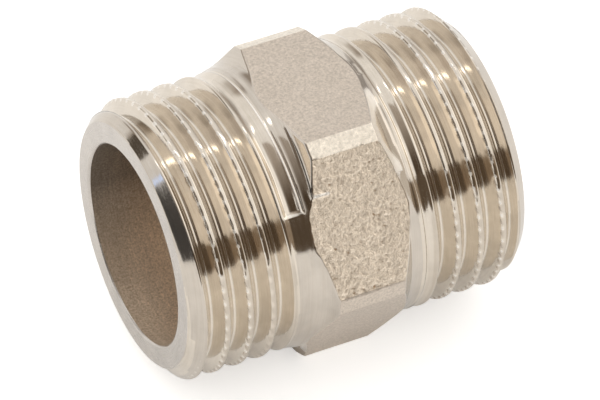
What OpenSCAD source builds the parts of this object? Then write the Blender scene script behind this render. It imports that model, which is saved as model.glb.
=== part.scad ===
// Hex nipple: a short pipe connector with an external parallel pipe thread on each end
// and a hexagon for a spanner in the middle. Everything is one piece of nickel-plated brass.
// The long axis lies along X, the origin is the middle of the body, and two of the
// hexagon's flats are level, at +Z and -Z, so that the part rests on the lower one.

/* [Body] */
// Length over the two end faces
overall_l = 27; // [26:0.5:32]
// Diameter of the straight bore through the whole piece
bore_d = 15.2; // [12:0.1:16]
// Small chamfer where the bore meets each end face
bore_break = 0.15; // [0.05:0.05:0.4]

/* [Thread] */
// Diameter over the thread crests, G 1/2
thread_d = 20.955; // [20.5:0.005:21.1]
// Distance from one crest to the next, 14 threads to the inch
pitch = 1.814; // [1.7:0.001:1.9]
// Depth of a finished groove below the crests
thread_depth = 1.162; // [0.9:0.001:1.2]
// Angle between the two flanks of a groove
flank_angle = 55; // [52:1:60]
// Width of the flat at the bottom of a finished groove
root_flat = 0.3; // [0.2:0.05:0.35]
// Distance from the end face at which the grooves start to become shallow
runout_start = 7.5; // [6.5:0.1:8]
// Depth of the last, unfinished groove below the crests
runout_depth = 0.16; // [0.1:0.02:0.3]
// Distance from the -X end face at which its groove stops
groove_end_a = 8.93; // [8.4:0.01:9.2]
// Distance from the +X end face at which its groove stops
groove_end_b = 9; // [8.4:0.01:9.2]

/* [Hexagon] */
// Distance across the flats
hex_af = 21.2; // [21.2:0.1:22.5]
// Distance across the narrow flats that blunt the six corners
corner_af = 23.7; // [23.3:0.1:24.2]
// Axial length of the blunted corners, between the two shoulders
corner_l = 5.1; // [4:0.1:5.5]

/* [Collars] */
// Distance from the end face to the start of the collar
collar_start = 8.4; // [8:0.1:8.6]
// Collar diameter where it leaves the thread
collar_small_d = 20.84; // [20.6:0.02:20.94]
// Collar diameter where it meets the shoulder
collar_large_d = 21.44; // [21.3:0.02:21.6]
// Axial length of the steep shoulder on the -X side
shoulder_a_l = 0.55; // [0.3:0.05:0.8]
// Axial length of the sloping shoulder on the +X side
shoulder_b_l = 1.1; // [0.8:0.05:1.3]

/* [Hidden] */

thread_r = thread_d / 2;
root_r = thread_r - thread_depth;
// The mouth's 45 degree chamfer ends just below the grooves
chamfer = thread_depth + 0.04;
bore_r = bore_d / 2;
half_l = overall_l / 2;
half_corner_l = corner_l / 2;
corner_sharp_r = hex_af / sqrt(3);

// Angle at which each groove stops, measured from straight down, clockwise as seen when
// looking in through that end's mouth
groove_end_angle_a = 238;
groove_end_angle_b = 172;
// Facets in one turn of a groove
steps_per_turn = 72;
// The cutter is widest at its top edge, outside the crests, where a gap of this share of the
// pitch is left between neighbouring turns
turn_gap = 0.04;
cutter_top_r = root_r + ((1 - turn_gap) * pitch - root_flat) / (2 * tan(flank_angle / 2));
// The cutter starts this far outside the end face
lead_in = 1.2;
// Clearance past a face for anything that cuts through it
over = 1;
// The corners of the turned blank stand this far outside the blunted corners
blank_margin = 0.1;

// Half of the groove's width at radius r
function groove_half_w(r) = root_flat / 2 + (r - root_r) * tan(flank_angle / 2);

// Bottom radius of the groove at distance d from the end face
function groove_bottom(d) =
    min(max(root_r, root_r + d - runout_start), thread_r - runout_depth);

// The four corners of the cutter's section at distance d and angle a
function cutter_ring(d, a) =
    let (bottom = groove_bottom(d), low = groove_half_w(bottom), top = groove_half_w(cutter_top_r))
    [for (p = [[bottom, -low], [bottom, low], [cutter_top_r, top], [cutter_top_r, -top]])
        [p[0] * cos(a), p[0] * sin(a), d + p[1]]];

// Right-hand helical groove cutter. It runs from outside the end face, at z = 0, inwards
// along +Z, and stops where its middle is at distance end_d and angle end_angle.
module groove_cutter(end_d, end_angle) {
    steps = ceil((end_d + lead_in) / pitch * steps_per_turn);
    rings = [for (back = [steps : -1 : 0]) let (turns = back / steps_per_turn)
        cutter_ring(end_d - turns * pitch, end_angle - turns * 360)];
    points = [for (ring = rings, p = ring) p];
    sides = [for (i = [0 : steps - 1], k = [0 : 3])
        let (a = 4 * i + k, b = 4 * i + (k + 1) % 4)
        each [[a, b, b + 4], [a, b + 4, a + 4]]];
    last = 4 * steps;
    ends = [[0, 3, 2], [0, 2, 1], [last, last + 1, last + 2], [last, last + 2, last + 3]];
    faces = [for (f = concat(sides, ends)) [f[2], f[1], f[0]]];
    polyhedron(points = points, faces = faces, convexity = 12);
}

// Turned outline, from the -X end (z = -half_l) to the +X end, as solid of revolution
module turned_blank() {
    rotate_extrude($fn = 128)
        polygon([
            [0, -half_l],
            [thread_r - chamfer, -half_l],
            [thread_r, -half_l + chamfer],
            [thread_r, -half_l + collar_start],
            [collar_small_d / 2, -half_l + collar_start],
            [collar_large_d / 2, -half_corner_l - shoulder_a_l],
            [corner_af / 2 + blank_margin, -half_corner_l],
            [corner_af / 2 + blank_margin, half_corner_l],
            [collar_large_d / 2, half_corner_l + shoulder_b_l],
            [collar_small_d / 2, half_l - collar_start],
            [thread_r, half_l - collar_start],
            [thread_r, half_l - chamfer],
            [thread_r - chamfer, half_l],
            [0, half_l]
        ]);
}

// Hexagonal bar with blunted corners, along Z, with two flats at -X and +X
module hexagon_bar() {
    intersection() {
        rotate([0, 0, 30])
            cylinder(r = corner_sharp_r, h = overall_l + 2 * over, center = true, $fn = 6);
        cylinder(r = corner_af / sqrt(3), h = overall_l + 3 * over, center = true, $fn = 6);
    }
}

module bore() {
    cylinder(r = bore_r, h = overall_l + 2 * over, center = true, $fn = 96);
    for (side = [-1, 1])
        mirror([0, 0, side < 0 ? 1 : 0])
            translate([0, 0, half_l - bore_break])
                cylinder(r1 = bore_r, r2 = bore_r + bore_break + over, h = bore_break + over, $fn = 96);
}

module nipple_body() {
    color("silver")
    rotate([0, 90, 0])
    difference() {
        intersection() {
            turned_blank();
            hexagon_bar();
        }
        translate([0, 0, -half_l])
            groove_cutter(groove_end_a, groove_end_angle_a);
        rotate([180, 0, 0])
            translate([0, 0, -half_l])
                groove_cutter(groove_end_b, groove_end_angle_b);
        bore();
    }
}

nipple_body();
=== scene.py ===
"""Looks for the hex nipple: one closed, displaced mesh that stands for the CAD node nipple_body.

All shape functions work in millimetres. A point on the outside is given by its axial position x and
its angle phi in degrees, measured from straight up (+Z) towards -Y, in the part's own frame. The end
at -X is end A, the end at +X is end B.
"""

import math

import bpy
import numpy as np
from mathutils import Matrix, Vector


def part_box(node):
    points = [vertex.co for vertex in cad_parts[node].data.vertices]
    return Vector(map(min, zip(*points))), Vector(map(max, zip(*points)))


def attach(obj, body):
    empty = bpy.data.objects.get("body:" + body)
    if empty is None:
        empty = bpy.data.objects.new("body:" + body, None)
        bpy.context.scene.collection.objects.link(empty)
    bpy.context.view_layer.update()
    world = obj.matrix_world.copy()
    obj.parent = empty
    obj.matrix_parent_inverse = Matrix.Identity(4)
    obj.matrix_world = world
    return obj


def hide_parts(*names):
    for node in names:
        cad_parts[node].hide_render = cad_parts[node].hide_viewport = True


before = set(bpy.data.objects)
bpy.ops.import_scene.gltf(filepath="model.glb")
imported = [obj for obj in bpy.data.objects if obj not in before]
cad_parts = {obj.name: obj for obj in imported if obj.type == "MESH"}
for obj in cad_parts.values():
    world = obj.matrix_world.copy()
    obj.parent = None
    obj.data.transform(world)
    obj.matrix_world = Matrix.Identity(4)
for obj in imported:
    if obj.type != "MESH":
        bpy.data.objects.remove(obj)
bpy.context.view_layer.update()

MM = 0.001
LOW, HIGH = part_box("nipple_body")

# ---------------------------------------------------------------- dimensions, mm, as in part.scad
HALF_L = HIGH.x / MM
FLAT_R = HIGH.z / MM
CORNER_R = HIGH.y / MM
BORE_R = 7.6
BORE_BREAK = 0.15
THREAD_R = 20.955 / 2
PITCH = 1.814
THREAD_DEPTH = 1.162
ROOT_R = THREAD_R - THREAD_DEPTH
FLANK_TAN = math.tan(math.radians(55 / 2))
ROOT_HALF_FLAT = 0.15
CHAMFER = THREAD_DEPTH + 0.04
FACE_OUTER_R = THREAD_R - CHAMFER
COLLAR_START = 8.4
COLLAR_SMALL_R = 10.42
# Each collar narrows by this much where it runs into its neighbour
COLLAR_DIP = 0.04
HALF_CORNER_L = 2.55
SHOULDER_A_L = 0.55
SHOULDER_B_L = 1.1
# The turned blank's corners stand this far outside the blunted corners
BLANK_MARGIN = 0.1

# ---------------------------------------------------------------- finer shape, mm, seen in the photo
# Crest line of each thread at phi = 0, and where each groove's centre line stops
CREST_A = -11.210
CREST_B = 5.370
GROOVE_END_A = -HALF_L + 8.8894
GROOVE_END_B = HALF_L - 9.6
# A groove's centre line passes from a shallow last groove to full depth between these distances
# from the middle of the part
SHALLOW_UNTIL = 5.12
FULL_FROM = 5.70
# Section of the shallow last groove: distance from its centre line, and radius
LAST_GROOVE_A = ((-0.88, 11.0), (-0.86, 10.48), (-0.70, 10.30), (-0.54, 10.17), (-0.44, 10.155),
                 (-0.20, 10.205), (0.05, 10.28), (0.25, 10.36), (0.42, 10.45), (0.50, 10.54),
                 (0.56, 10.47), (0.62, 10.43), (0.70, 10.51), (0.74, 11.0))
LAST_GROOVE_B = ((-0.34, 11.0), (-0.30, 10.34), (-0.24, 10.33), (-0.02, 10.44), (0.06, 10.475),
                 (0.13, 10.31), (0.22, 10.24), (0.45, 10.27), (0.68, 10.37), (0.86, 10.48),
                 (0.88, 11.0))
# The two shoulders, down to the collars: axial position and radius
SHOULDER_A = ((-4.15, 10.50), (-4.00, 10.585), (-3.80, 10.595), (-3.60, 10.635), (-3.40, 10.71),
              (-3.20, 10.83), (-3.02, 11.00), (-2.85, 11.32))
SHOULDER_B = ((2.85, 11.58), (3.60, 10.77), (3.95, 10.57), (4.38, COLLAR_SMALL_R - COLLAR_DIP))
# The round collars take over from the hexagon between these distances from the middle
RELEASE_A = (3.66, 3.80)
RELEASE_B = (4.20, 4.32)
# Rounding of the groove's bottom, of its edges at the crests, and of the turned outline
ROOT_BLEND = 0.05
CREST_BLEND = 0.045
TURNED_BLUR = 0.035
FILLET_BLUR = 0.10
# Axial reach of the wider fillet round each shoulder
FILLET_A = (-3.9, -3.6, -2.8, -2.6)
FILLET_B = (2.6, 2.8, 4.0, 4.3)
# Chatter along the crests. Offsets and widths run along X from the crest's middle, and parts are
# shares of the way from one mark to the next
MARKS_PER_TURN = 60.3
MARK_JITTER = 0.35
NOTCH_DEPTH = 0.045
NOTCH_OFFSET = -0.255
NOTCH_SLANT = 0.16
NOTCH_WIDTH = 0.055
NOTCH_PARTS = (0.0, 0.16, 0.45, 0.68)
BEAD_HEIGHT = 0.028
BEAD_OFFSET = -0.15
BEAD_WIDTH = 0.11
BEAD_PART = 0.82
BEAD_LENGTH = 0.17
# The chatter starts and is full at these depths below the crest, and fades out between these
# distances from the end face
CREST_BAND = (0.42, 0.12)
CHATTER_END_A = (5.4, 7.4)
CHATTER_END_B = (5.0, 5.5)
# Heights of the burr where groove A ends, of the ridge along the hexagon's edge at end B, and of the
# short burr on the coarse flat
BURR_A_HEIGHT = 0.05
BURR_B_HEIGHT = 0.06
FRONT_BURR = 0.13
# Angle at which groove A ends in its burr, and axial reach of the burr's short leg
BURR_A_ANGLE = 50.20
BURR_A_REACH = (-5.2, -5.05, -4.05, -3.9)
# Angles between which the ridge at end B runs, and the angle of the drop at its lower end
BURR_B_ANGLES = (7, 12, 45.5, 46.5)
DROP_ANGLE = 45.2
# Axial reach of the short burr on the coarse flat, and its distance from the flat's middle
FRONT_BURR_REACH = (-3.2, -3.05, -1.9, -1.7)
FRONT_BURR_SIDE = -2.70
# Half the depth of the grain on the fine flats, and the size of one grain
FINE_DEPTH = 0.004
FINE_GRAIN = 0.35

# ---------------------------------------------------------------- mesh layout
FACE_COLUMNS = 60
STRIP_COLUMNS = 8
# The columns of a corner's narrow flat reach just past its edges
STRIP_HALF_ANGLE = 3.283
# Axial offsets of the rows in one pitch, from the crest's middle
ROW_OFFSETS = (-0.907, -0.79, -0.745, -0.695, -0.48, -0.39, -0.295, -0.225, -0.155, -0.09,
               -0.02, 0.07, 0.15, 0.23, 0.45, 0.72)
# Plain rings between each helical zone and the hexagon's zone
RING_A = -3.82
RING_B = 4.34
LAND_ROWS = 34
SHOULDER_ROWS = 4
COLLAR_ROWS = 2
BORE_ROWS = 8
# Helical rows nearer than this to a ring are drawn into it
SNAP = 0.025
# Half-width of the small bevel where the hexagon's flats end
BEVEL = 0.045
# Where the search for the end of a flat starts inside the corner, and its number of steps
CREASE_MARGIN = 0.35
CREASE_STEPS = 700
# Rounded edge from the mouth's chamfer to the end face: distance from the end face, and radius
# against FACE_OUTER_R
END_EDGE = ((0.03, 0.018), (0.012, -0.02), (0.0, -0.09))
# Rings on the end face, as shares of its width from the bore outwards
FACE_SHARES = (0.66, 0.33, 0.06)

# Material zones, in the order of the mesh's material slots
THREAD, COLLAR, FINE_FLAT, COARSE_FLAT, STRIP, END_RING, BORE = range(7)
# Number of the coarse flat: 0 is the one at +Z, and 1 is the next one towards -Y
COARSE_FACE = 1
# Distance from the middle of a flat to the edge of the next corner's narrow flat
FLAT_EDGE = FLAT_R * math.tan(math.radians(30 - STRIP_HALF_ANGLE))
# Angle of the one corner that blends softly into the next flat
SOFT_CORNER = 90
# A point belongs to a flat or a corner only where the cosine of the angle between them is above this
FACING = 0.8


def smooth_step(low, high, value):
    t = np.clip((value - low) / (high - low), 0, 1)
    return t * t * (3 - 2 * t)


def smooth_min(a, b, blend):
    h = np.clip(blend - np.abs(a - b), 0, None) / blend
    return np.minimum(a, b) - h * h * blend / 4


def smooth_max(a, b, blend):
    return -smooth_min(-a, -b, blend)


def bell(value, middle, width):
    """1 in the middle, falling off to either side."""
    return np.exp(-(((value - middle) / width) ** 2))


def plateau(value, rise_from, rise_to, fall_from, fall_to):
    """1 between rise_to and fall_from, and 0 outside rise_from and fall_to."""
    return smooth_step(rise_from, rise_to, value) * (1 - smooth_step(fall_from, fall_to, value))


def signed_angle(phi):
    """The same angle, between -180 and 180 degrees."""
    return (phi + 180) % 360 - 180


class Noise2D:
    """Smooth seeded value noise from -1 to 1 on a tiled lattice."""

    def __init__(self, seed, size=64):
        self.size = size
        self.lattice = np.random.default_rng(seed).uniform(-1, 1, (size, size))

    def __call__(self, u, v):
        iu = np.floor(u).astype(int)
        iv = np.floor(v).astype(int)
        fu = u - iu
        fv = v - iv
        fu = fu * fu * (3 - 2 * fu)
        fv = fv * fv * (3 - 2 * fv)
        n = self.size
        a = self.lattice[iu % n, iv % n]
        b = self.lattice[(iu + 1) % n, iv % n]
        c = self.lattice[iu % n, (iv + 1) % n]
        d = self.lattice[(iu + 1) % n, (iv + 1) % n]
        return (a * (1 - fu) + b * fu) * (1 - fv) + (c * (1 - fu) + d * fu) * fv

    def share(self, s, x, cell, start):
        """Noise from 0 to 1 with cells of the given size, in mm along s and along x."""
        return 0.5 + 0.5 * self(s / cell[0] + start[0], x / cell[1] + start[1])


NOISE_COARSE = Noise2D(11)
NOISE_MEDIUM = Noise2D(12)
NOISE_FINE = Noise2D(13)
NOISE_PATCH = Noise2D(14)
NOISE_CREST = Noise2D(15)
# Radius given where a surface doesn't cut the part
NO_CUT = 1e3


# ---------------------------------------------------------------- shape functions
def turned_outline():
    """Outline of the turned blank, slightly rounded, as a fine table of x and radius."""
    corner_top = CORNER_R + BLANK_MARGIN
    beyond = 1
    groove_a_edge = -HALF_L + COLLAR_START
    groove_b_edge = HALF_L - COLLAR_START
    points = [
        (-HALF_L - beyond, FACE_OUTER_R - beyond),
        (-HALF_L + CHAMFER, THREAD_R),
        (groove_a_edge - 0.36, THREAD_R),
        (groove_a_edge - 0.02, COLLAR_SMALL_R - COLLAR_DIP),
        *SHOULDER_A,
        (-HALF_CORNER_L, corner_top),
        (HALF_CORNER_L, corner_top),
        *SHOULDER_B,
        (groove_b_edge - 0.03, COLLAR_SMALL_R),
        (groove_b_edge + 0.03, THREAD_R),
        (HALF_L - CHAMFER, THREAD_R),
        (HALF_L + beyond, FACE_OUTER_R - beyond),
    ]
    step = 0.005
    margin = 0.5
    x = np.arange(-HALF_L - margin, HALF_L + margin + step, step)
    r = np.interp(x, *zip(*points))

    def blurred(sigma):
        reach = int(4 * sigma / step)
        kernel = np.exp(-0.5 * (np.arange(-reach, reach + 1) * step / sigma) ** 2)
        return np.convolve(np.pad(r, reach, "edge"), kernel / kernel.sum(), "valid")

    # A wider fillet round each shoulder, a tight one elsewhere
    fillet = plateau(x, *FILLET_A) + plateau(x, *FILLET_B)
    tight = blurred(TURNED_BLUR)
    r = tight + fillet * (blurred(FILLET_BLUR) - tight)
    return x, r


OUTLINE_X, OUTLINE_R = turned_outline()


def turned_radius(x):
    return np.interp(x, OUTLINE_X, OUTLINE_R)


def coarse_relief(s, x):
    """Depth, in mm, of the rough as-forged surface on one flat. s is the distance from its middle,
    positive towards its lower edge."""
    lump = NOISE_COARSE.share(s, x, cell=(0.40, 0.36), start=(7.3, 3.1))
    grain = NOISE_MEDIUM.share(s, x, cell=(0.24, 0.22), start=(1.7, 9.2))
    patch = NOISE_PATCH.share(s, x, cell=(1.9, 1.7), start=(2.2, 5.4))
    # Rougher towards the lower edge, and calmer next to end B's shoulder
    lower = 0.55 * smooth_step(1.5, 5.5, s) + 0.15 * smooth_step(0.5, 3.2, x)
    quiet = 1 - 0.75 * smooth_step(1.5, 2.4, x)
    strength = 0.07 + 0.04 * patch + 0.06 * lower
    pits = smooth_step(0.62, 0.95, lump * 0.6 + grain * 0.4) * (0.5 + patch)
    crevice = bell(s, FLAT_EDGE - 0.12 - 0.05 * (lump - 0.5), 0.10) * (0.5 + lump)
    return quiet * (strength * (0.5 * lump + 0.5 * grain) + 0.04 * pits) + 0.08 * crevice


def front_burr(s, x):
    """Thin ridge, about 1.3 mm long, near one corner of the coarse flat."""
    along = plateau(x, *FRONT_BURR_REACH)
    middle = FRONT_BURR_SIDE + 0.08 * (x + 2.4)
    return FRONT_BURR * along * bell(s, middle, 0.10)


def hex_radius(phi, x):
    """Radius of the hexagonal bar with its blunted corners, with the relief of each flat."""
    rho = np.full(np.broadcast(phi, x).shape, NO_CUT)
    for k in range(6):
        turn = np.radians(signed_angle(phi - 60 * k))
        facing = np.cos(turn) > FACING
        s = FLAT_R * np.tan(np.where(facing, turn, 0))
        depth = FINE_DEPTH + FINE_DEPTH * NOISE_FINE(s / FINE_GRAIN + 11 * k, x / FINE_GRAIN)
        if k == COARSE_FACE:
            depth = coarse_relief(s, x) - front_burr(s, x)
        rho = np.where(facing, np.minimum(rho, (FLAT_R - depth) / np.cos(turn)), rho)
        corner = np.radians(signed_angle(phi - 60 * k - 30))
        near = np.cos(corner) > FACING
        rho = np.where(near, np.minimum(rho, CORNER_R / np.where(near, np.cos(corner), 1)), rho)
    return rho


def hexagon_radius(phi, x):
    """The hexagon's radius, let go outwards where the round collars take over."""
    release = smooth_step(*RELEASE_A, -x) + smooth_step(*RELEASE_B, x)
    return hex_radius(phi, x) + 0.5 * release


def groove(phi, x):
    """Radius left by the two helical grooves, very large where there is none."""
    left = x < 0
    crest = np.where(left, CREST_A, CREST_B)
    turns = np.round((x - crest - PITCH / 2) / PITCH - phi / 360)
    centre = crest + PITCH / 2 + PITCH * (turns + phi / 360)
    offset = x - centre
    flank = ROOT_R + (np.abs(offset) - ROOT_HALF_FLAT) / FLANK_TAN
    full = smooth_max(np.full(np.shape(flank), ROOT_R), flank, ROOT_BLEND)
    last_a = np.interp(offset, *zip(*LAST_GROOVE_A))
    last_b = np.interp(offset, *zip(*LAST_GROOVE_B))
    share = smooth_step(SHALLOW_UNTIL, FULL_FROM, np.abs(centre))
    radius = full * share + np.where(left, last_a, last_b) * (1 - share)
    cut = np.where(left, centre <= GROOVE_END_A, centre >= GROOVE_END_B)
    return np.where(cut, radius, NO_CUT)


def crest_place(phi, x):
    """For each point: offset from the nearest crest line, and number of turns along the thread."""
    crest = np.where(x < 0, CREST_A, CREST_B)
    turns = np.round((x - crest) / PITCH - phi / 360)
    total = turns + phi / 360
    return x - crest - PITCH * total, total


def crest_marks(phi, x, radius):
    """Chatter along the crest's edge, each from 0 to 1: slanted notches, and beads between them."""
    offset, total = crest_place(phi, x)
    left = x < 0
    along = total * MARKS_PER_TURN + MARK_JITTER * NOISE_CREST(total * 19, np.where(left, 3.0, 9.0))
    number = np.floor(along)
    part = along - number
    vary = 0.5 + 0.5 * NOISE_CREST(number * 0.73 + 0.4, np.where(left, 20.5, 30.5))
    notch = bell(offset, NOTCH_OFFSET + NOTCH_SLANT * part, NOTCH_WIDTH) * plateau(part, *NOTCH_PARTS)
    bead = bell(offset, BEAD_OFFSET, BEAD_WIDTH) * bell(part, BEAD_PART, BEAD_LENGTH)
    # Only near the crest, fading towards the collar, and at end B further in on the lower side
    depth_in = HALF_L - np.abs(x)
    around = signed_angle(phi)
    low_side = smooth_step(42, 54, around)
    fade_a = smooth_step(*CHATTER_END_A, depth_in)
    fade_b = smooth_step(CHATTER_END_B[0] + low_side, CHATTER_END_B[1] + 1.4 * low_side, depth_in)
    near_crest = smooth_step(THREAD_R - CREST_BAND[0], THREAD_R - CREST_BAND[1], radius)
    strength = near_crest * (1 - np.where(left, fade_a, fade_b))
    # Notches are faint on the side turned away and over the top
    seen = 0.08 + 0.92 * smooth_step(5, 35, around)
    return strength * seen * (0.4 + 0.6 * vary) * notch, strength * (0.6 + 0.4 * vary) * bead


def serration(phi, x, radius):
    """Depth of the chatter: notches cut in, beads stand out, less so on the underside."""
    notch, bead = crest_marks(phi, x, radius)
    flatter = 1 - 0.7 * smooth_step(100, 125, signed_angle(phi))
    return NOTCH_DEPTH * notch - BEAD_HEIGHT * flatter * bead


def burr_a(phi, x):
    """Raised, L-shaped burr round the end of groove A, from 0 to 1."""
    across = bell(phi, BURR_A_ANGLE, 0.5) * plateau(x, *BURR_A_REACH)
    offset, _ = crest_place(phi, x)
    along = bell(offset, -0.40, 0.05) * (x > -4.6) * (x < 0)
    along = along * plateau(signed_angle(phi), -40, 10, BURR_A_ANGLE - 0.5, BURR_A_ANGLE + 0.6)
    return np.maximum(0.6 * across, along)


def burr_b(phi, x, gap):
    """Ridge thrown up along the hexagon's edge at end B, with a drop at its lower end, from 0 to 1.

    gap is how far the turned outline lies outside the hexagon."""
    ridge = 0.8 * bell(gap, -0.34, 0.34) * plateau(phi, *BURR_B_ANGLES)
    drop = bell(phi, DROP_ANGLE, 1.5) * bell(gap, -0.08, 0.17)
    return np.maximum(ridge, drop) * (x > 0) * (x < RING_B)


def threaded_radius(phi, x):
    """Radius of the turned blank after its grooves are cut."""
    return smooth_min(turned_radius(x), groove(phi, x), CREST_BLEND)


def outer_radius(phi, x):
    """Radius of the finished outside."""
    rho = threaded_radius(phi, x)
    rho = rho - serration(phi, x, rho) + BURR_A_HEIGHT * burr_a(phi, x)
    hexagon = hexagon_radius(phi, x)
    gap = turned_radius(x) - hexagon
    raised = np.minimum(rho, hexagon) + BURR_B_HEIGHT * burr_b(phi, x, gap)
    # Nothing stands above the level flats, where the CAD model's box ends
    return np.minimum(raised, FLAT_R / np.maximum(np.abs(np.cos(np.radians(phi))), 0.5))


# ---------------------------------------------------------------- mesh
def column_angles():
    """Angles of the columns, the same for every row: closer together at the hexagon's corners."""
    sector = 60.0
    face_width = sector - 2 * STRIP_HALF_ANGLE
    strip = -STRIP_HALF_ANGLE + 2 * STRIP_HALF_ANGLE * np.arange(STRIP_COLUMNS) / STRIP_COLUMNS
    face = STRIP_HALF_ANGLE + face_width * np.arange(FACE_COLUMNS) / FACE_COLUMNS
    one = np.concatenate([strip, face])
    angles = np.concatenate([one + 30 + sector * k for k in range(6)])
    return np.sort(angles % 360)


class MeshBuilder:
    """Collects vertices and faces. A vertex is placed by its x, radius and angle."""

    def __init__(self, angles):
        self.angles = angles
        self.count = len(angles)
        self.points = []
        self.quads = []
        self.zones = []
        self.sharp = []
        self.total = 0

    def add_points(self, x, r, phi):
        """Adds points of any one shape and returns their numbers in that shape."""
        turn = np.radians(phi)
        co = np.stack([x, -r * np.sin(turn), r * np.cos(turn)], -1).reshape(-1, 3)
        ids = self.total + np.arange(len(co))
        self.points.append(co)
        self.total += len(co)
        return ids.reshape(np.shape(x))

    def ring(self, x, r):
        full = np.full(self.count, float(x))
        return self.add_points(full, np.broadcast_to(r, full.shape), self.angles)

    def outer_ring(self, x):
        return self.ring(x, outer_radius(self.angles, np.full(self.count, float(x))))

    def add_grid(self, ids, zones):
        """ids has one row per step in x and one column per angle, with the first column repeated
        at the end. make_mesh leaves out the faces that have shrunk to nothing."""
        a, b, c, d = ids[:-1, :-1], ids[:-1, 1:], ids[1:, 1:], ids[1:, :-1]
        self.quads.append(np.stack([a, b, c, d], -1).reshape(-1, 4))
        self.zones.append(np.broadcast_to(zones, a.shape).reshape(-1))

    def close_columns(self, ids):
        return np.concatenate([ids, ids[:, :1]], 1)


def helical_zone(builder, crest, x_start, x_end, ring_start, ring_end):
    """Rows that follow the helix between two plain rings and are clipped at both."""
    per_turn = len(ROW_OFFSETS)
    first = int(np.floor((x_start - crest) / PITCH)) - 2
    last = int(np.ceil((x_end - crest) / PITCH)) + 1
    rows = np.array([crest + PITCH * k + o for k in range(first, last + 1) for o in ROW_OFFSETS])
    keep = (rows + PITCH > x_start - 2 * PITCH) & (rows < x_end + 2 * PITCH)
    rows = rows[keep]
    phi = np.broadcast_to(builder.angles, (len(rows), builder.count))
    x = rows[:, None] + PITCH * phi / 360
    inside = (x > x_start + SNAP) & (x < x_end - SNAP)
    ids = np.where(x <= x_start + SNAP, ring_start[None, :], ring_end[None, :])
    r = outer_radius(phi[inside], x[inside])
    ids[inside] = builder.add_points(x[inside], r, phi[inside])
    # The last column joins the first one, one turn further on
    seam = np.full((len(rows), 1), ring_end[0])
    seam[:-per_turn, 0] = ids[per_turn:, 0]
    full = np.concatenate([ids, seam], 1)
    mid = np.concatenate([x, rows[:, None] + PITCH], 1)
    mid = (mid[:-1, :-1] + mid[1:, 1:]) / 2
    angle = np.broadcast_to(builder.angles, mid.shape)
    cut = groove(angle, mid) < THREAD_R
    in_collar = (np.abs(mid) < HALF_L - COLLAR_START) & ~cut
    in_chamfer = (np.abs(mid) > HALF_L - CHAMFER) & (turned_radius(mid) < groove(angle, mid))
    builder.add_grid(full, np.where(in_collar | in_chamfer, COLLAR, THREAD))


def crease_positions(builder, side):
    """Axial position, in each column, where the hexagon's flats meet the turned outline."""
    limit = RING_B - 3 * BEVEL if side > 0 else RING_A + 3 * BEVEL
    x = np.linspace(side * (HALF_CORNER_L - CREASE_MARGIN), limit, CREASE_STEPS)
    grid_x = np.broadcast_to(x[:, None], (len(x), builder.count))
    grid_phi = np.broadcast_to(builder.angles, grid_x.shape)
    gap = turned_radius(grid_x) - hexagon_radius(grid_phi, grid_x)
    # The last step always counts as past the flat
    gap[-1] = -1.0
    first = np.argmax(gap < 0, axis=0)
    crossing = x[np.clip(first, 1, None)]
    smooth = (np.roll(crossing, 1) + 2 * crossing + np.roll(crossing, -1)) / 4
    near_corner = np.abs(builder.angles % 60 - 30) < STRIP_HALF_ANGLE + 0.5
    return np.where(near_corner, crossing, smooth)


def hexagon_rows(builder):
    """Axial positions of the rows between the two rings, one line of columns each, and for each
    span between two rows whether it lies on the hexagon's flats."""
    crease_a = crease_positions(builder, -1)
    crease_b = crease_positions(builder, 1)
    outside_a = np.maximum(crease_a - BEVEL, RING_A)
    outside_b = np.minimum(crease_b + BEVEL, RING_B)
    foot_a = np.minimum(np.minimum(-HALF_CORNER_L - SHOULDER_A_L, crease_a), outside_a - BEVEL)
    foot_b = np.maximum(np.maximum(HALF_CORNER_L + SHOULDER_B_L, crease_b), outside_b + BEVEL)
    # Where each stretch ends, its number of rows, and whether it lies on the flats
    stretches = [
        (foot_a, COLLAR_ROWS, False),
        (outside_a - BEVEL, SHOULDER_ROWS, False),
        (outside_a, 1, False),
        (crease_a + BEVEL, 1, False),
        (crease_a + 2 * BEVEL, 1, True),
        (crease_b - 2 * BEVEL, LAND_ROWS, True),
        (crease_b - BEVEL, 1, True),
        (outside_b, 1, False),
        (outside_b + BEVEL, 1, False),
        (foot_b, SHOULDER_ROWS, False),
        (np.full(builder.count, RING_B), COLLAR_ROWS, False),
    ]
    rows = [np.full(builder.count, RING_A)]
    on_flats = []
    for end, count, flats in stretches:
        start = rows[-1]
        for i in range(1, count + 1):
            rows.append(start + (end - start) * i / count)
            on_flats.append(flats)
    return np.array(rows), np.array(on_flats)


def hexagon_zone(builder, ring_a, ring_b):
    """The hexagon with its shoulders, between the two plain rings."""
    x, on_flats = hexagon_rows(builder)
    ids = np.empty(x.shape, int)
    ids[0] = ring_a
    for i in range(1, len(x) - 1):
        same = np.abs(x[i] - x[i - 1]) < 1e-4
        new = builder.add_points(x[i], outer_radius(builder.angles, x[i]), builder.angles)
        ids[i] = np.where(same, ids[i - 1], new)
    ids[-1] = ring_b
    sector = (builder.angles - 30 + STRIP_HALF_ANGLE + 1e-6) % 60
    on_strip = sector < 2 * STRIP_HALF_ANGLE - 1e-3
    face_number = np.round((builder.angles + 0.3) / 60).astype(int) % 6
    crisp = on_strip & (np.abs(builder.angles - SOFT_CORNER) > STRIP_HALF_ANGLE + 0.5)
    land = np.where(face_number == COARSE_FACE, COARSE_FLAT, FINE_FLAT)
    land = np.where(crisp, STRIP, np.where(on_strip, FINE_FLAT, land))
    zones = np.where(on_flats[:, None], land[None, :], COLLAR)
    builder.add_grid(builder.close_columns(ids), zones)
    # The long edges of the corners' narrow flats stay crisp
    flat_rows = np.flatnonzero(on_flats)
    for j in range(builder.count):
        if crisp[j] != crisp[j - 1]:
            column = ids[flat_rows[0]:flat_rows[-1] + 2, j]
            builder.sharp.append(np.stack([column[:-1], column[1:]], -1))


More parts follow.
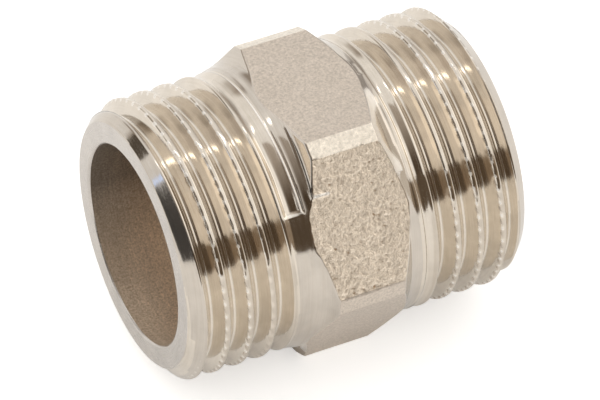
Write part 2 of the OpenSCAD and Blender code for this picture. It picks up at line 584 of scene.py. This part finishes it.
def outer_start_ring(builder, side):
    """Ring at the small end of the mouth's chamfer."""
    inset, rise = END_EDGE[0]
    return builder.ring(side * (HALF_L - inset), FACE_OUTER_R + rise)


def end_zone(builder, side, ring_outer):
    """End face, the small break at the bore's mouth, and the ring where the bore starts."""
    levels = [(HALF_L - inset, FACE_OUTER_R + rise) for inset, rise in END_EDGE[1:]]
    face_r = levels[-1][1]
    mouth_r = BORE_R + BORE_BREAK
    levels += [(HALF_L, mouth_r + (face_r - mouth_r) * share) for share in FACE_SHARES]
    levels += [(HALF_L - 0.02, mouth_r - 0.01), (HALF_L - BORE_BREAK, BORE_R)]
    rings = [ring_outer] + [builder.ring(side * x, r) for x, r in levels]
    order = rings if side > 0 else rings[::-1]
    builder.add_grid(builder.close_columns(np.array(order)), END_RING)
    return rings[-1]


def bore_zone(builder, ring_a, ring_b):
    inner = HALF_L - BORE_BREAK
    rows = [ring_b]
    for x in np.linspace(inner, -inner, BORE_ROWS)[1:-1]:
        rows.append(builder.ring(x, BORE_R))
    rows.append(ring_a)
    builder.add_grid(builder.close_columns(np.array(rows)), BORE)


def build_nipple():
    """The whole nipple as one closed mesh."""
    builder = MeshBuilder(column_angles())
    start = HALF_L - END_EDGE[0][0]
    end_a = outer_start_ring(builder, -1)
    end_b = outer_start_ring(builder, 1)
    ring_a = builder.outer_ring(RING_A)
    ring_b = builder.outer_ring(RING_B)
    helical_zone(builder, CREST_A, -start, RING_A, end_a, ring_a)
    hexagon_zone(builder, ring_a, ring_b)
    helical_zone(builder, CREST_B, RING_B, start, ring_b, end_b)
    bore_a = end_zone(builder, -1, end_a)
    bore_b = end_zone(builder, 1, end_b)
    bore_zone(builder, bore_a, bore_b)

    points = np.concatenate(builder.points)
    quads = np.concatenate(builder.quads)
    zones = np.concatenate(builder.zones)
    sharp = np.concatenate(builder.sharp)
    return make_mesh(points, quads, zones, sharp)


def make_mesh(points, quads, zones, sharp):
    """Blender mesh from the collected parts, without empty faces and unused points."""
    faces = []
    slots = []
    for quad, zone in zip(quads.tolist(), zones.tolist()):
        face = [v for i, v in enumerate(quad) if v != quad[i - 1]]
        if len(set(face)) == len(face) and len(face) >= 3:
            faces.append(face)
            slots.append(zone)
    used = np.unique(np.concatenate([np.array(f) for f in faces]))
    renumber = np.full(len(points), -1)
    renumber[used] = np.arange(len(used))
    points = points[used]
    faces = [renumber[f].tolist() for f in faces]
    mesh = bpy.data.meshes.new("nipple")
    mesh.from_pydata((points * MM).tolist(), [], faces)
    mesh.polygons.foreach_set("material_index", slots)
    mesh.polygons.foreach_set("use_smooth", [True] * len(faces))
    mark_sharp(mesh, renumber[sharp])
    store_tone(mesh, points)
    mesh.validate()
    mesh.update()
    return mesh


def mark_sharp(mesh, pairs):
    """Marks the edges between the given pairs of vertices as sharp."""
    edges = np.empty(len(mesh.edges) * 2, np.int32)
    mesh.edges.foreach_get("vertices", edges)
    edges = np.sort(edges.reshape(-1, 2), 1).astype(np.int64)
    pairs = np.sort(pairs[(pairs >= 0).all(1)], 1).astype(np.int64)
    size = len(mesh.vertices)
    flags = np.isin(edges[:, 0] * size + edges[:, 1], pairs[:, 0] * size + pairs[:, 1])
    attribute = mesh.attributes.new("sharp_edge", "BOOLEAN", "EDGE")
    attribute.data.foreach_set("value", flags)


# Strength of the painted highlight beside the groove's bottom, and where it runs
ROOT_HIGHLIGHT_TONE = 0.42
ROOT_HIGHLIGHT_LINE = (0.16 - PITCH / 2, 0.05)
# Strength of the painted shade on the crests' lower side, how far below the crest it reaches, and where it
# starts
CREST_SHADE_TONE = 0.42
CREST_SHADE_DEPTHS = (0.16, 0.05)
LOW_SIDE = (58, 72)
# Angles and axial reach of the painted shade on a facet of end A's shoulder below one corner
SHADED_FACET_ANGLES = (139, 143, 155, 159)
SHADED_FACET_REACH = (-3.5, -3.3, -2.68, -2.60)
# Tones of the coarse flat's pits, rim and stain, and the relief over which a pit goes from its plain
# colour to fully dark
PIT_TONE = 0.7
PIT_DEPTHS = (0.06, 0.20)
RIM_TONE = 0.6
STAIN_TONE = 0.5


def turned_tone(phi, x, r, gap):
    """Tone of the threads, collars and shoulders: painted shade in the notches, on the crests' lower side
    and on one shoulder facet, and painted highlight on the beads, burrs and beside the groove's bottom.
    """
    notch, bead = crest_marks(phi, x, threaded_radius(phi, x))
    burr = np.maximum(burr_a(phi, x), burr_b(phi, x, gap))
    offset, _ = crest_place(phi, x)
    past_chamfer = np.abs(x) < HALF_L - CHAMFER
    before_collar = np.abs(x) > HALF_L - COLLAR_START + 0.2
    # Painted highlight along the line beside the groove's bottom
    root = ROOT_HIGHLIGHT_TONE * bell(offset, *ROOT_HIGHLIGHT_LINE) * (r < ROOT_R + 0.15) * past_chamfer
    # Painted shade on the crests of the lower side, less under the beads
    crest = smooth_step(THREAD_R - CREST_SHADE_DEPTHS[0], THREAD_R - CREST_SHADE_DEPTHS[1], r)
    crest = crest * smooth_step(*LOW_SIDE, signed_angle(phi))
    crest = CREST_SHADE_TONE * crest * past_chamfer * before_collar
    # Painted shade on the shoulder facet
    facet_shade = plateau(phi, *SHADED_FACET_ANGLES) * plateau(x, *SHADED_FACET_REACH)
    # Painted shade in the notches, on the facet and on the lower crests; painted highlight on the beads,
    # burrs and root line
    dark = np.maximum(np.maximum(notch, facet_shade), crest * (1 - bead))
    return dark - np.maximum(np.maximum(bead, burr), root)


def coarse_tone(s, x, gap):
    """Tone of the coarse flat: its pits, its darker rim, a stain, and a painted highlight on the burr."""
    rim = bell(gap, 0, 0.16) * (x < 0) * smooth_step(0.5, 2.5, s)
    rim = np.maximum(rim, bell(s, FLAT_EDGE - 0.10, 0.14))
    stain = bell(s, -3.35, 0.25) * (1 - smooth_step(-1.6, 0.2, x))
    pits = smooth_step(*PIT_DEPTHS, coarse_relief(s, x))
    dark = np.clip(PIT_TONE * pits + RIM_TONE * rim + STAIN_TONE * stain, 0, 1)
    # Painted highlight on the burr
    return dark - 2 * front_burr(s, x) / FRONT_BURR


def store_tone(mesh, points):
    """Per vertex, for the materials: 1 for painted shade in a notch, on a crest's lower side or a shoulder
    facet, or deep in a coarse pit; -1 for a painted highlight on a bead, burr or root line.
    """
    x = points[:, 0]
    r = np.hypot(points[:, 1], points[:, 2])
    phi = np.degrees(np.arctan2(-points[:, 1], points[:, 2])) % 360
    outside = r > BORE_R + 1
    gap = turned_radius(x) - hexagon_radius(phi, x)
    value = np.where(outside, turned_tone(phi, x, r, gap), 0)
    turn = np.radians(signed_angle(phi - 60 * COARSE_FACE))
    on_coarse = (np.abs(np.degrees(turn)) < 30) & outside & (gap > 0)
    s = FLAT_R * np.tan(np.where(on_coarse, turn, 0))
    value = np.where(on_coarse, coarse_tone(s, x, gap), value)
    attribute = mesh.attributes.new("tone", "FLOAT", "POINT")
    attribute.data.foreach_set("value", np.clip(value, -1, 1).astype(np.float32))


# ---------------------------------------------------------------- materials
# Painted shade for the notches, the crests' lower side and one shoulder facet, and painted highlight for
# the beads, burrs and the line beside each groove's bottom
PAINTED_SHADE = (0.30, 0.23, 0.16)
PAINTED_HIGHLIGHT = (0.97, 0.93, 0.87)
WHITE = (1.0, 1.0, 1.0)
BLACK = (0.0, 0.0, 0.0)


class Nodes:
    """Short helpers round one material's node tree."""

    def __init__(self, name):
        self.material = bpy.data.materials.new(name)
        self.material.use_nodes = True
        self.tree = self.material.node_tree
        self.shader = self.tree.nodes.get("Principled BSDF")

    def new(self, kind, **settings):
        node = self.tree.nodes.new(kind)
        for key, value in settings.items():
            setattr(node, key, value)
        return node

    def link(self, source, target):
        self.tree.links.new(source, target)

    def math(self, operation, a, b=None):
        node = self.new("ShaderNodeMath", operation=operation)
        for socket, value in zip(node.inputs, (a, b)):
            if isinstance(value, (int, float)):
                socket.default_value = value
            elif value is not None:
                self.link(value, socket)
        return node.outputs[0]

    def product(self, *values):
        result = values[0]
        for value in values[1:]:
            result = self.math("MULTIPLY", result, value)
        return result

    def split(self, vector):
        """The vector's three parts."""
        node = self.new("ShaderNodeSeparateXYZ")
        self.link(vector, node.inputs[0])
        return node.outputs

    def position(self):
        return self.new("ShaderNodeTexCoord").outputs["Object"]

    def position_mm(self):
        """Position on the part, in millimetres."""
        scale = self.new("ShaderNodeVectorMath", operation="SCALE")
        scale.inputs["Scale"].default_value = 1 / MM
        self.link(self.position(), scale.inputs[0])
        return scale.outputs[0]

    def tone(self):
        """The mesh's own tone, see store_tone."""
        return self.new("ShaderNodeAttribute", attribute_name="tone").outputs["Fac"]

    def noise(self, vector, scale, detail=2.0, roughness=0.5):
        node = self.new("ShaderNodeTexNoise")
        node.inputs["Scale"].default_value = scale
        node.inputs["Detail"].default_value = detail
        node.inputs["Roughness"].default_value = roughness
        self.link(vector, node.inputs["Vector"])
        return node.outputs["Fac"]

    def ramp(self, value, stops):
        """Colour along the value. stops is a list of places from 0 to 1 and their colours."""
        node = self.new("ShaderNodeValToRGB")
        elements = node.color_ramp.elements
        while len(elements) < len(stops):
            elements.new(0.5)
        for element, (place, colour) in zip(elements, stops):
            element.position = place
            element.color = (*colour, 1)
        self.link(value, node.inputs[0])
        return node.outputs["Color"]

    def map(self, value, source, target):
        """Maps the range source, given by its two ends, to the range target, and stops at its ends."""
        node = self.new("ShaderNodeMapRange")
        names = ("From Min", "From Max", "To Min", "To Max")
        for name, number in zip(names, (*source, *target)):
            node.inputs[name].default_value = number
        self.link(value, node.inputs["Value"])
        return node.outputs["Result"]

    def mix(self, factor, a, b, blend="MIX"):
        node = self.new("ShaderNodeMix", data_type="RGBA", blend_type=blend)
        for socket, value in ((node.inputs[0], factor), (node.inputs[6], a), (node.inputs[7], b)):
            if isinstance(value, (int, float)):
                socket.default_value = value
            elif isinstance(value, tuple):
                socket.default_value = (*value, 1)
            else:
                self.link(value, socket)
        return node.outputs[2]

    def bump(self, height, strength, distance_mm, normal=None):
        node = self.new("ShaderNodeBump")
        node.inputs["Strength"].default_value = strength
        node.inputs["Distance"].default_value = distance_mm * MM
        self.link(height, node.inputs["Height"])
        if normal is not None:
            self.link(normal, node.inputs["Normal"])
        return node.outputs["Normal"]

    def turned_vector(self, position, around, helical=False):
        """Coordinates that change fast across tool marks and slowly along them."""
        x, y, z = self.split(position)
        angle = self.math("ARCTAN2", self.math("MULTIPLY", y, -1.0), z)
        squares = self.math("ADD", self.math("MULTIPLY", y, y), self.math("MULTIPLY", z, z))
        if helical:
            x = self.math("SUBTRACT", x, self.math("MULTIPLY", angle, PITCH / (2 * math.pi)))
        join = self.new("ShaderNodeCombineXYZ")
        self.link(x, join.inputs[0])
        self.link(self.math("SQRT", squares), join.inputs[1])
        self.link(self.math("MULTIPLY", angle, around), join.inputs[2])
        return join.outputs[0]

    def finish(self, colour, roughness, normal, metallic=1.0):
        self.shader.inputs["Metallic"].default_value = metallic
        self.link(colour, self.shader.inputs["Base Color"])
        self.link(roughness, self.shader.inputs["Roughness"])
        self.link(normal, self.shader.inputs["Normal"])
        return self.material


def tinted(colour, factor):
    return tuple(c * factor for c in colour)


def turned_metal(name, colour, rough, mark_scale, mark_strength, helical=False):
    """Bright plated metal with the fine marks of a turning tool, and the painted shade and highlight given
    by the mesh's tone.
    """
    n = Nodes(name)
    position = n.position_mm()
    tone = n.tone()
    marks = n.noise(n.turned_vector(position, 0.35, helical), mark_scale, detail=3.0, roughness=0.6)
    cloud = n.noise(position, scale=0.55, detail=3.0, roughness=0.6)
    specks = n.noise(position, scale=6.0, detail=2.0, roughness=0.6)
    base = n.ramp(cloud, ((0.35, tinted(colour, 0.95)), (0.65, tinted(colour, 1.05))))
    streak = n.ramp(marks, ((0.3, (0.90, 0.88, 0.85)), (0.6, WHITE)))
    base = n.mix(0.7, base, streak, "MULTIPLY")
    # Painted shade where the tone is above zero, painted highlight where it is below
    base = n.mix(n.map(tone, (0.15, 0.9), (0.0, 0.6)), base, PAINTED_SHADE)
    base = n.mix(n.map(tone, (-0.15, -0.55), (0.0, 1.0)), base, PAINTED_HIGHLIGHT)
    wear = n.math("ADD", n.math("MULTIPLY", marks, 0.6), n.math("MULTIPLY", specks, 0.4))
    roughness = n.map(wear, (0.35, 0.65), rough)
    roughness = n.math("MAXIMUM", roughness, n.map(tone, (-0.15, -0.55), (0.0, 0.5)))
    roughness = n.math("MAXIMUM", roughness, n.map(tone, (0.15, 0.6), (0.0, 0.45)))
    normal = n.bump(marks, mark_strength, distance_mm=0.02)
    normal = n.bump(specks, mark_strength * 0.5, 0.015, normal)
    return n.finish(base, roughness, normal)


def blasted_metal(name, colour, rough, grain_scale, grain_strength):
    """Even, fine blast grain under the plating."""
    n = Nodes(name)
    position = n.position_mm()
    grain = n.noise(position, grain_scale, detail=3.0, roughness=0.65)
    cloud = n.noise(position, scale=0.35, detail=3.0, roughness=0.55)
    base = n.ramp(grain, ((0.3, tinted(colour, 0.78)), (0.7, tinted(colour, 1.14))))
    shade = n.ramp(cloud, ((0.3, (0.93, 0.92, 0.9)), (0.7, WHITE)))
    base = n.mix(0.5, base, shade, "MULTIPLY")
    roughness = n.map(grain, (0.3, 0.7), rough)
    normal = n.bump(grain, grain_strength, distance_mm=0.04)
    return n.finish(base, roughness, normal)


def coarse_metal(name, colour, pit_colour):
    """Rough as-forged skin: pits from the mesh's own relief, with a finer grain in the material and a
    painted highlight on the burr.
    """
    n = Nodes(name)
    position = n.position_mm()
    tone = n.tone()
    grain = n.noise(position, scale=3.0, detail=2.0, roughness=0.6)
    fine = n.noise(position, scale=8.0, detail=2.0, roughness=0.6)
    mixed = n.math("SUBTRACT", grain, n.math("MULTIPLY", tone, 0.16))
    skin = ((0.22, pit_colour), (0.38, tinted(colour, 0.84)), (0.52, colour), (0.68, tinted(colour, 1.10)))
    # Painted highlight on the burr, where the tone is below zero
    base = n.mix(n.map(tone, (-0.15, -0.7), (0.0, 1.0)), n.ramp(mixed, skin), PAINTED_HIGHLIGHT)
    roughness = n.map(grain, (0.3, 0.7), (0.52, 0.38))
    normal = n.bump(grain, strength=1.0, distance_mm=0.12)
    normal = n.bump(fine, 0.6, 0.03, normal)
    return n.finish(base, roughness, normal)


def bore_metal(name, colour):
    """Drilled bore: browner, with reamer marks, a sparkling grain, and painted shade near the mouths and
    overhead.
    """
    n = Nodes(name)
    position = n.position_mm()
    marks = n.noise(n.turned_vector(position, 0.3), scale=6.0, detail=3.0, roughness=0.6)
    grain = n.noise(position, scale=7.0, detail=3.0, roughness=0.7)
    base = n.ramp(marks, ((0.3, tinted(colour, 0.88)), (0.7, tinted(colour, 1.08))))
    # Painted shade near the mouths and overhead, lighter deeper in and towards the bottom
    x, _, z = n.split(position)
    mouth_shade = n.map(n.math("ABSOLUTE", x), (13.2, 7.5), (0.52, 1.15))
    lower = n.map(z, (-0.8, -5.8), (0.32, 0.98))
    base = n.mix(1.0, base, n.mix(n.product(mouth_shade, lower), BLACK, WHITE), "MULTIPLY")
    sparkle = ((0.34, (0.68, 0.65, 0.60)), (0.56, WHITE), (0.68, (1.25, 1.23, 1.17)))
    base = n.mix(0.9, base, n.ramp(grain, sparkle), "MULTIPLY")
    roughness = n.map(grain, (0.3, 0.7), (0.72, 0.52))
    normal = n.bump(marks, strength=0.25, distance_mm=0.03)
    normal = n.bump(grain, 0.6, 0.03, normal)
    return n.finish(base, roughness, normal, metallic=0.7)


def add_materials(mesh):
    """One material for each zone, in the order of the zones' numbers."""
    for material in (
        turned_metal("thread_plating", (0.735, 0.67, 0.585), rough=(0.08, 0.15),
                     mark_scale=9.0, mark_strength=0.14, helical=True),
        turned_metal("collar_plating", (0.62, 0.565, 0.50), rough=(0.07, 0.15),
                     mark_scale=7.0, mark_strength=0.10),
        blasted_metal("fine_blasted", (0.685, 0.608, 0.529), rough=(0.50, 0.34),
                      grain_scale=6.0, grain_strength=0.55),
        coarse_metal("coarse_forged", (0.92, 0.81, 0.675), pit_colour=(0.40, 0.28, 0.18)),
        blasted_metal("corner_blunt", (0.84, 0.77, 0.67), rough=(0.32, 0.22),
                      grain_scale=4.0, grain_strength=0.08),
        turned_metal("end_ring", (0.63, 0.59, 0.55), rough=(0.20, 0.34),
                     mark_scale=8.0, mark_strength=0.15),
        bore_metal("bore_wall", (1.0, 0.795, 0.60)),
    ):
        mesh.materials.append(material)


# ---------------------------------------------------------------- studio, metres
# Distances of the cards in front and to the left, of the panels behind and to the right, and of
# those overhead
NEAR = 0.6
FAR = 0.8
OVERHEAD = 0.9
CANOPY_ANGLE = 29
STRIP_LAMP_ANGLE = -19
WARM_WHITE = (1.0, 0.985, 0.965)
FLOOR_COLOUR = (0.93, 0.925, 0.915)
FLOOR_REACH = 3.0
FLOOR_GAP = 0.00002


def stage_material(name, colour):
    """A glowing card. colour is a tuple, or a function that makes a colour socket in the nodes."""
    n = Nodes(name)
    n.tree.nodes.clear()
    emission = n.new("ShaderNodeEmission")
    if callable(colour):
        n.link(colour(n), emission.inputs["Color"])
    else:
        emission.inputs["Color"].default_value = (*colour, 1)
    output = n.new("ShaderNodeOutputMaterial")
    n.link(emission.outputs[0], output.inputs[0])
    return n.material


def canopy_colour(n):
    """Light panel to the right, passing softly into a dim, brown area round the camera."""
    turn = math.radians(CANOPY_ANGLE)
    position = n.position()
    project = n.new("ShaderNodeVectorMath", operation="DOT_PRODUCT")
    project.inputs[1].default_value = (0, -math.cos(turn), -math.sin(turn))
    n.link(position, project.inputs[0])
    across = project.outputs["Value"]
    x = n.split(position)[0]
    dim = n.mix(n.map(across, (-0.35, 0.30), (0.0, 1.0)), (0.46, 0.405, 0.35), (0.095, 0.068, 0.046))
    light = n.mix(n.map(across, (-0.32, -0.22), (0.0, 1.0)), WARM_WHITE, (1.12, 1.09, 1.05))
    return n.mix(n.map(x, (-0.20, 0.16), (0.0, 1.0)), dim, light)


def back_wall_colour(n):
    """Pale wall behind the part, greyer to the right and with a brown patch to the left."""
    x, _, z = n.split(n.position())
    right = n.product(n.map(x, (0.24, 0.58), (0.0, 1.0)), n.map(z, (0.88, 0.62), (0.0, 1.0)),
                      n.map(z, (-0.01, 0.25), (0.35, 1.0)))
    left = n.product(n.map(x, (0.08, -0.25), (0.0, 1.0)), n.map(z, (0.62, 0.48), (0.0, 1.0)),
                     n.map(z, (0.14, 0.22), (0.0, 1.0)))
    high = n.product(n.map(x, (0.50, 0.70), (0.0, 1.0)), n.map(z, (0.55, 0.85), (0.0, 1.0)))
    wall = n.mix(right, WARM_WHITE, (0.46, 0.43, 0.405))
    wall = n.mix(high, wall, (0.78, 0.75, 0.73))
    return n.mix(left, wall, (0.40, 0.35, 0.30))


def floor_material(name, glow):
    """Pale matt floor, with a little glow of its own, as an overexposed sweep has."""
    n = Nodes(name)
    n.shader.inputs["Base Color"].default_value = (*FLOOR_COLOUR, 1)
    n.shader.inputs["Roughness"].default_value = 0.9
    n.shader.inputs["Specular IOR Level"].default_value = 0.1
    n.shader.inputs["Emission Color"].default_value = (*WHITE, 1)
    n.shader.inputs["Emission Strength"].default_value = glow
    return n.material


def panel(name, corners, material, seen=False):
    """A flat stage piece. Only the floor is seen directly; the others only show as reflections."""
    mesh = bpy.data.meshes.new(name)
    mesh.from_pydata(corners, [], [range(len(corners))])
    mesh.materials.append(material)
    obj = bpy.data.objects.new(name, mesh)
    bpy.context.scene.collection.objects.link(obj)
    obj.visible_camera = seen
    obj.visible_glossy = not seen
    obj.visible_diffuse = False
    obj.visible_shadow = False


def card(name, corners, colour, material_name):
    panel(name, corners, stage_material(material_name, colour))


def around_x(angle, x_low, x_high, half_width):
    """Corners of a panel overhead, parallel to X and facing the part, at an angle from +Z to -Y."""
    turn = math.radians(angle)
    middle = Vector((0, -math.sin(turn), math.cos(turn))) * OVERHEAD
    side = Vector((0, -math.cos(turn), -math.sin(turn))) * half_width
    a = middle - side
    b = middle + side
    return [(x_low, a.y, a.z), (x_high, a.y, a.z), (x_high, b.y, b.z), (x_low, b.y, b.z)]


def upright_x(x, y_low, y_high, z_low, z_high):
    return [(x, y_low, z_low), (x, y_high, z_low), (x, y_high, z_high), (x, y_low, z_high)]


def upright_y(y, x_low, x_high, z_low, z_high):
    return [(x_low, y, z_low), (x_high, y, z_low), (x_high, y, z_high), (x_low, y, z_high)]


def build_world():
    world = bpy.data.worlds.new("studio")
    world.use_nodes = True
    background = world.node_tree.nodes["Background"]
    background.inputs["Color"].default_value = (*WARM_WHITE, 1)
    background.inputs["Strength"].default_value = 1.0
    bpy.context.scene.world = world


def build_floor():
    """The floor that is seen, and a dimmer one in the same place for the reflections."""
    z = LOW.z - FLOOR_GAP
    r = FLOOR_REACH
    corners = [(-r, -r, z), (r, -r, z), (r, r, z), (-r, r, z)]
    panel("floor", corners, floor_material("floor_pale", glow=0.45), seen=True)
    panel("floor_bounce", corners, floor_material("floor_bounce", glow=0.12))


def build_front_cards():
    """Dark and brown cards low in front: the dark band along threads and collars."""
    low = NEAR * math.tan(math.radians(2.3))
    card("dark_card_front", upright_y(-NEAR, -0.9, 0.31, low, 0.37), (0.12, 0.088, 0.06), "card_dark")
    card("brown_card_front", upright_y(-NEAR, 0.31, 1.0, low, 0.33), (0.31, 0.24, 0.175), "card_brown")


def build_left_cards():
    """Cards that the end ring and the chamfer of end A reflect, with a small blue glint."""
    slanted = [(-0.40, 0.0), (-0.15, 0.0), (0.15, 0.17), (0.15, 0.29), (-0.40, 0.29)]
    black = [(-NEAR, y, z) for y, z in slanted]
    card("dark_card_left", black, (0.08, 0.075, 0.072), "card_black")
    back_left = upright_x(-NEAR, 0.41, 0.76, 0.12, 0.33)
    card("dark_card_back_left", back_left, (0.11, 0.09, 0.07), "card_brown_black")
    shaded = upright_x(-NEAR, -0.40, 0.21, 0.33, 0.60)
    card("shaded_card_left", shaded, (0.21, 0.17, 0.135), "card_shaded")
    glint = upright_x(-NEAR, 0.155, 0.20, 0.25, 0.30)
    card("blue_glint", glint, (1.0, 1.3, 2.0), "blue_glint")


def build_light_panels():
    """Wall behind, softbox and tan card to the right, canopy and strip lamp overhead."""
    card("back_wall", upright_y(FAR, -0.9, 1.6, -0.01, 1.5), back_wall_colour, "back_wall")
    card("tan_card_right", upright_x(FAR, -0.60, 0.35, -0.01, 0.30), (0.74, 0.68, 0.60), "card_tan")
    card("softbox_right", upright_x(FAR, -0.55, 0.35, 0.31, 1.0), (1.55, 1.50, 1.42), "softbox_side")
    card("canopy", around_x(CANOPY_ANGLE, -0.9, 0.9, 0.58), canopy_colour, "canopy")
    lamp = around_x(STRIP_LAMP_ANGLE, -0.02, 0.38, 0.030)
    card("strip", lamp, (4.5, 4.4, 4.25), "strip_lamp")


# ---------------------------------------------------------------- camera
CAMERA_AZIMUTH = -27.44
CAMERA_ELEVATION = 44.25
CAMERA_ROLL = -2.345
CAMERA_DISTANCE = 0.4634
CAMERA_AIM_MM = (-0.231, -0.329, -0.409)
LENS = 382.5
SENSOR_WIDTH = 36.0


def build_camera():
    """Long lens at the photograph's viewing angle. Azimuth is measured from -Y towards +X."""
    azimuth = math.radians(CAMERA_AZIMUTH)
    elevation = math.radians(CAMERA_ELEVATION)
    roll = math.radians(CAMERA_ROLL)
    back = Vector((
        math.sin(azimuth) * math.cos(elevation),
        -math.cos(azimuth) * math.cos(elevation),
        math.sin(elevation),
    ))
    level = Vector((math.cos(azimuth), math.sin(azimuth), 0))
    upright = back.cross(level)
    right = level * math.cos(roll) - upright * math.sin(roll)
    up = level * math.sin(roll) + upright * math.cos(roll)
    place = Vector(CAMERA_AIM_MM) * MM + back * CAMERA_DISTANCE
    data = bpy.data.cameras.new("camera")
    data.lens = LENS
    data.sensor_width = SENSOR_WIDTH
    camera = bpy.data.objects.new("camera", data)
    camera.matrix_world = Matrix((
        (right.x, up.x, back.x, place.x),
        (right.y, up.y, back.y, place.y),
        (right.z, up.z, back.z, place.z),
        (0, 0, 0, 1),
    ))
    scene = bpy.context.scene
    scene.collection.objects.link(camera)
    scene.camera = camera
    scene.view_settings.view_transform = "Standard"


def main():
    mesh = build_nipple()
    add_materials(mesh)
    nipple = bpy.data.objects.new("nipple", mesh)
    bpy.context.scene.collection.objects.link(nipple)
    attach(nipple, "root")
    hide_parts("nipple_body")
    build_world()
    build_floor()
    build_front_cards()
    build_left_cards()
    build_light_panels()
    build_camera()


main()
